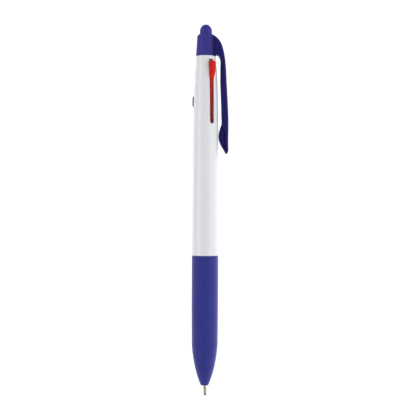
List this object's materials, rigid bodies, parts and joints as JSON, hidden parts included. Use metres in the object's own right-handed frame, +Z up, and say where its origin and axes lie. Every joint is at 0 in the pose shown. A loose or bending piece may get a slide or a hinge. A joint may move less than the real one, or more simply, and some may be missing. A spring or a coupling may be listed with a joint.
{
  "type": "multicolor click pen",
  "caption": "Slim click pen with three sliding colour buttons, a soft grip, a pocket clip and a domed end; each button pushes its own refill out of the nose.",
  "frame": {"origin": "middle of the pen's bounding box on the table it lies on", "axes": "+X along the pen's axis towards the writing point, +Z up from the table, +Y the side the clip stands out to"},
  "size_m": [0.1484, 0.0144, 0.0118],
  "materials": {
    "barrel_white": "satin moulded white plastic",
    "cap_indigo": "satin moulded indigo plastic",
    "core_white": "moulded natural plastic",
    "shell_indigo": "moulded indigo plastic",
    "grip_rubber": "soft matte indigo rubber",
    "slider_black": "glossy black plastic",
    "slider_red": "glossy red plastic",
    "slider_blue": "glossy blue plastic",
    "ink_black": "black ink column",
    "ink_red": "red ink column",
    "ink_blue": "blue ink column",
    "spring_steel": "drawn steel wire",
    "tube_clear": "translucent natural plastic",
    "point_metal": "turned nickel silver",
    "ball_steel": "polished hard metal"
  },
  "bodies": {
    "barrel": {"upper_barrel": "barrel_white", "clip_cap": "cap_indigo", "end_knob": "cap_indigo", "latch_core": "core_white", "spring_guide": "core_white", "black_spring": "spring_steel", "red_spring": "spring_steel", "blue_spring": "spring_steel"},
    "front_section": {"front_barrel": "shell_indigo", "grip_sleeve": "grip_rubber"},
    "black_slider": {"black_slider": "slider_black"},
    "black_refill": {"black_refill_tube": "tube_clear", "black_ink": "ink_black", "black_point": "point_metal", "black_ball": "ball_steel"},
    "red_slider": {"red_slider": "slider_red"},
    "red_refill": {"red_refill_tube": "tube_clear", "red_ink": "ink_red", "red_point": "point_metal", "red_ball": "ball_steel"},
    "blue_slider": {"blue_slider": "slider_blue"},
    "blue_refill": {"blue_refill_tube": "tube_clear", "blue_ink": "ink_blue", "blue_point": "point_metal", "blue_ball": "ball_steel"}
  },
  "joints": [
    {"name": "front_section_slide", "type": "slide", "parent": "barrel", "child": "front_section", "axis": [1, 0, 0], "range_m": [0, 0.066]},
    {"name": "black_slide", "type": "slide", "parent": "barrel", "child": "black_slider", "axis": [0.997, 0.07, -0.0326], "range_m": [-0.0136, 0], "deforming": ["black_spring"]},
    {"name": "black_refill_tilt", "type": "hinge", "parent": "black_slider", "child": "black_refill", "pos_m": [-0.01649, -0.00305, 0.00697], "axis": [0, 0.4226, 0.9063], "range_deg": [-0.62063, 0]},
    {"name": "red_slide", "type": "slide", "parent": "barrel", "child": "red_slider", "axis": [0.997, -0.0632, -0.0443], "range_m": [0, 0.0136], "deforming": ["red_spring"]},
    {"name": "red_refill_tilt", "type": "hinge", "parent": "red_slider", "child": "red_refill", "pos_m": [-0.03005, 0.00023, 0.00779], "axis": [0, 0.5736, -0.8192], "range_deg": [0, 0.62063]},
    {"name": "blue_slide", "type": "slide", "parent": "barrel", "child": "blue_slider", "axis": [0.997, -0.0067, 0.0769], "range_m": [0, 0.002], "stiffness_N_per_m": 40, "springref_m": -0.006, "deforming": ["blue_spring"]},
    {"name": "blue_refill_tilt", "type": "hinge", "parent": "blue_slider", "child": "blue_refill", "pos_m": [-0.03005, -0.00157, 0.00394], "axis": [0, -0.9962, -0.0872], "range_deg": [0, 0.09127]}
  ],
  "couplings": [
    {"joint": "black_slide", "follows": "red_slide", "ratio": -1},
    {"joint": "red_refill_tilt", "follows": "red_slide", "rad_per_m": 0.79568},
    {"joint": "black_refill_tilt", "follows": "red_slide", "rad_per_m": -0.79568},
    {"joint": "blue_refill_tilt", "follows": "blue_slide", "rad_per_m": 0.79568}
  ]
}
